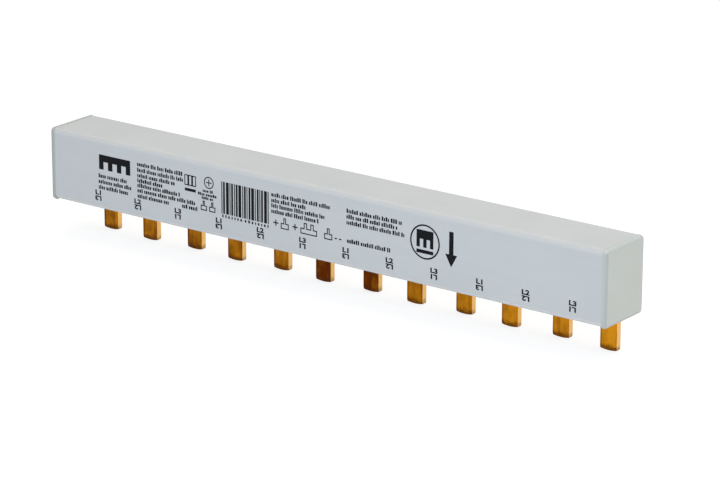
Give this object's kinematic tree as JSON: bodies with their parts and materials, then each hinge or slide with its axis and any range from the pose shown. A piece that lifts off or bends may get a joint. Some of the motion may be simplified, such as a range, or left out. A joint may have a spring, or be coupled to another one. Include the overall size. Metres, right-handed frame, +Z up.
{
  "type": "comb busbar",
  "caption": "Insulated phase busbar for modular circuit breakers: a long rectangular housing with a row of flat copper tongues along its underside and an end cap at each end.",
  "frame": {"origin": "middle of the row of tongues, halfway between its two lines, at the height of the housing's underside", "axes": "+X along the bar from the first tongue to the last, +Y towards the back wall that the tongues stand near, +Z up, from the tongues to the top of the housing"},
  "size_m": [0.213, 0.0203, 0.0364],
  "materials": {
    "housing_plastic": "satin",
    "copper": "rolled",
    "cap_plastic": "satin"
  },
  "bodies": {
    "root": {"housing": "housing_plastic", "comb_l1": "copper", "comb_l2": "copper", "comb_l3": "copper", "end_cap_left": "cap_plastic", "end_cap_right": "cap_plastic"}
  },
  "joints": []
}
